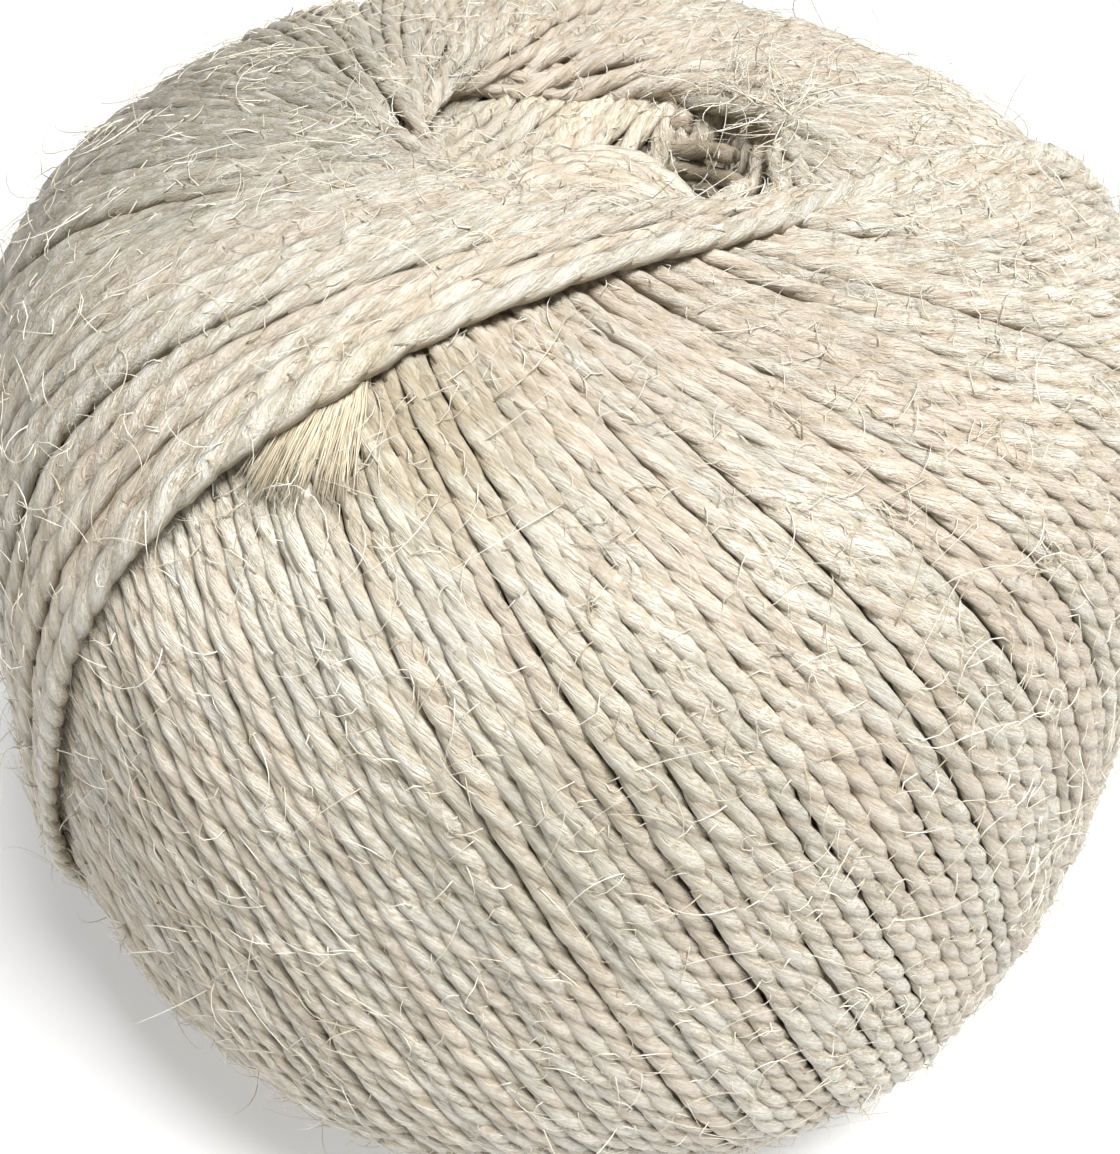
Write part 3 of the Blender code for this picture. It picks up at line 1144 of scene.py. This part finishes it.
@dataclass(frozen=True)
class FibreFinish:
    """A single fibre: paler than the twine, with a soft gleam."""

    pale: Colour = (0.83, 0.79, 0.69, 1.0)
    straw: Colour = (0.58, 0.50, 0.36, 1.0)
    roughness: float = 0.5

    def material(self, name: str) -> Material:
        """Makes the finish as a material.

        Args:
            name: The material's name.

        Returns:
            The material.
        """
        graph = Graph(name)
        colour = Tone(self.straw, 0.4, 1.0, 1.0).over(graph, graph.attribute("shade", "Fac"), self.pale)
        return graph.set(Base_Color=colour, Roughness=self.roughness)


@dataclass(frozen=True)
class ShadedFinish:
    """The older layers, which show only as dark slits between the strands over them, in a colour darker than
    the twine's: painted shade.
    """

    straw: Colour = (0.60, 0.51, 0.37, 1.0)
    dark: Colour = (0.36, 0.295, 0.20, 1.0)
    roughness: float = 0.8

    def material(self, name: str) -> Material:
        """Makes the finish as a material.

        Args:
            name: The material's name.

        Returns:
            The material.
        """
        graph = Graph(name)
        strands = graph.noise(graph.scaled(graph.place(), (1.0, 1.0, 0.35)), 700.0, 3.0)
        colour = Tone(self.straw, 0.35, 0.65, 1.0).over(graph, strands, self.dark)
        normal = graph.bump(strands, 0.0006, 1.0)
        return graph.set(Base_Color=colour, Normal=normal, Roughness=self.roughness)


@dataclass
class WoundCore:
    """The older layers under the strands that show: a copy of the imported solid, a strand's depth smaller."""

    depth: float = 0.0019
    merge: float = 0.00002

    def build(self, material: Material) -> Piece:
        """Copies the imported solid, closes its seams and shrinks it along its normals.

        Args:
            material: The layers' finish.

        Returns:
            The copy.
        """
        bpy.ops.object.select_all(action="DESELECT")
        solid = bpy.data.objects["twine_ball"]
        core = bpy.data.objects.new("older_layers", solid.data.copy())
        bpy.context.collection.objects.link(core)
        core.data.materials.clear()
        core.data.materials.append(material)
        bpy.context.view_layer.objects.active = core
        core.select_set(True)
        bpy.ops.object.mode_set(mode="EDIT")
        bpy.ops.mesh.select_all(action="SELECT")
        bpy.ops.mesh.remove_doubles(threshold=self.merge)
        bpy.ops.transform.shrink_fatten(value=-self.depth)
        bpy.ops.object.mode_set(mode="OBJECT")
        core.data.shade_smooth()
        return dress(core)


@dataclass(frozen=True)
class Studio:
    """A plain pale floor, soft light and the camera at the photograph's angle."""

    floor_size: float = 3.0
    floor_colour: Colour = (0.60, 0.60, 0.60, 1.0)
    backdrop_radius: float = 8.0
    world_strength: float = 0.11
    lamps: tuple[tuple[str, Spot, float, float], ...] = (
        # name, place, side and power in watts of each square soft light
        ("key_light", (0.23, -0.28, 0.92), 0.34, 15.9),
        ("fill_light", (-0.65, -0.60, 0.14), 0.9, 1.20),
    )
    lit_at: Spot = (0.0, 0.0, 0.05)
    looks_at: Spot = (0.0, 0.0, 0.0446)
    distance: float = 0.1904
    looks_down: float = 0.699
    roll: float = 0.047
    lens: float = 56.56
    shift: tuple[float, float] = (-0.0101, -0.0003)

    def paint(self, name: str, colour: Colour, roughness: float, glow: float) -> Piece:
        """Paints the object that was added last.

        Args:
            name: The paint's name.
            colour: Its colour.
            roughness: Its roughness.
            glow: How strongly it gives off white light.

        Returns:
            The object.
        """
        graph = Graph(name)
        graph.set(Emission_Color=WHITE, Emission_Strength=glow)
        bpy.context.object.data.materials.append(graph.set(Base_Color=colour, Roughness=roughness))
        return bpy.context.object

    def floor(self) -> None:
        """Lays the floor under the ball."""
        bpy.ops.mesh.primitive_plane_add(size=self.floor_size, location=(0.0, 0.0, 0.0))
        self.paint("pale_floor", self.floor_colour, 0.9, 0.38).name = "studio_floor"

    def backdrop(self) -> None:
        """Stands a pale backdrop all round, which lights nothing and throws no shadow."""
        bpy.ops.mesh.primitive_uv_sphere_add(segments=48, ring_count=24, radius=self.backdrop_radius)
        backdrop = self.paint("pale_backdrop", (0.0, 0.0, 0.0, 1.0), 0.5, 0.93)
        backdrop.name = "studio_backdrop"
        backdrop.visible_diffuse = False
        backdrop.visible_glossy = False
        backdrop.visible_shadow = False

    def lights(self) -> None:
        """Sets the soft lights, which look at the ball, and the pale surroundings."""
        for name, place, side, power in self.lamps:
            data = bpy.data.lights.new(name, "AREA")
            data.size = side
            data.energy = power
            lamp = bpy.data.objects.new(name, data)
            lamp.location = place
            lamp.rotation_euler = (Vector(self.lit_at) - Vector(place)).to_track_quat("-Z", "Y").to_euler()
            bpy.context.collection.objects.link(lamp)
        world = bpy.data.worlds.new("studio")
        world.use_nodes = True
        world.node_tree.nodes["Background"].inputs["Color"].default_value = WHITE
        world.node_tree.nodes["Background"].inputs["Strength"].default_value = self.world_strength
        bpy.context.scene.world = world
        bpy.context.scene.view_settings.view_transform = "Standard"

    def camera(self) -> None:
        """Places the camera as the photograph was taken: 40 degrees down and slightly rolled."""
        centre = Vector(self.looks_at)
        eye = centre + self.distance * Vector((0.0, -math.cos(self.looks_down), math.sin(self.looks_down)))
        forward = (centre - eye).normalized()
        right = Vector((1.0, 0.0, 0.0))
        up = right.cross(forward)
        across = math.cos(self.roll) * right + math.sin(self.roll) * up
        upward = -math.sin(self.roll) * right + math.cos(self.roll) * up
        data = bpy.data.cameras.new("camera")
        data.sensor_width = 36.0
        data.lens = self.lens
        data.shift_x, data.shift_y = self.shift
        data.clip_start = 0.01
        camera = bpy.data.objects.new("camera", data)
        turned = Matrix((across, upward, -forward)).transposed()
        camera.matrix_world = Matrix.Translation(eye) @ turned.to_4x4()
        bpy.context.collection.objects.link(camera)
        bpy.context.scene.camera = camera


def main() -> None:
    """Builds the ball's pieces in order, and then the studio."""
    logging.basicConfig(level=logging.INFO, format="%(name)s: %(message)s")
    luck = np.random.default_rng(20)
    twine = SisalFinish().material("sisal_twine_strands")
    fibre = FibreFinish().material("stray_sisal_fibre")
    total = report(WoundCore().build(ShadedFinish().material("shaded_older_twine")))
    winding = OuterWinding()
    for piece in winding.build(twine, luck):
        total += report(piece)
    length = sum(strand.length() for strand in winding.strands)
    log.info("%d strands show, %.1f m of twine", len(winding.strands), length)
    hollow = HollowWinding()
    # a paler copy of the twine's finish: painted light on the shelf and hump, which lie in the rim's shade
    painted_light = SisalFinish(pale=(0.90, 0.84, 0.70, 1.0), straw=(0.72, 0.62, 0.45, 1.0))
    # a darker copy of the twine's finish: painted shade on the turns down in the throat
    inner = SisalFinish(pale=(0.42, 0.355, 0.24, 1.0), straw=(0.27, 0.215, 0.13, 1.0), crest_highlight_share=0.06)
    finishes = painted_light.material("painted_light_sisal_twine_strands"), inner.material("shaded_sisal_twine_strands")
    for piece in hollow.build(*finishes, luck):
        total += report(piece)
    everywhere = winding.strands + hollow.strands
    mouth_edge, mouth_middle = (0.0135, 0.0075, 0.0965), (-0.002, 0.0, 0.0930)
    fuzz = (
        StrayFibres("long_stray_fibres", 2000, (0.0030, 0.0110), 0.00013, 8, 20.0),
        StrayFibres("short_stray_fibres", 7200, (0.0012, 0.0046), 0.00014, 4, 24.0),
        StrayFibres("mouth_tuft", 90, (0.0040, 0.0095), 0.00018, 12, 34.0, 3.0, mouth_edge, 0.0070),
        StrayFibres("mouth_fuzz", 1200, (0.0012, 0.0040), 0.00014, 6, 30.0, 2.2, mouth_middle, 0.0200),
    )
    for kind in fuzz:
        total += report(kind.build(everywhere, fibre, luck))
    combed = FibreFinish((0.70, 0.63, 0.49, 1.0), (0.52, 0.44, 0.30, 1.0)).material("combed_sisal_fibre")
    total += report(FrayedPatch().build(combed, luck))
    log.info("%d triangles in all", total)
    studio = Studio()
    studio.floor()
    studio.backdrop()
    studio.lights()
    studio.camera()


if __name__ == "__main__":
    main()
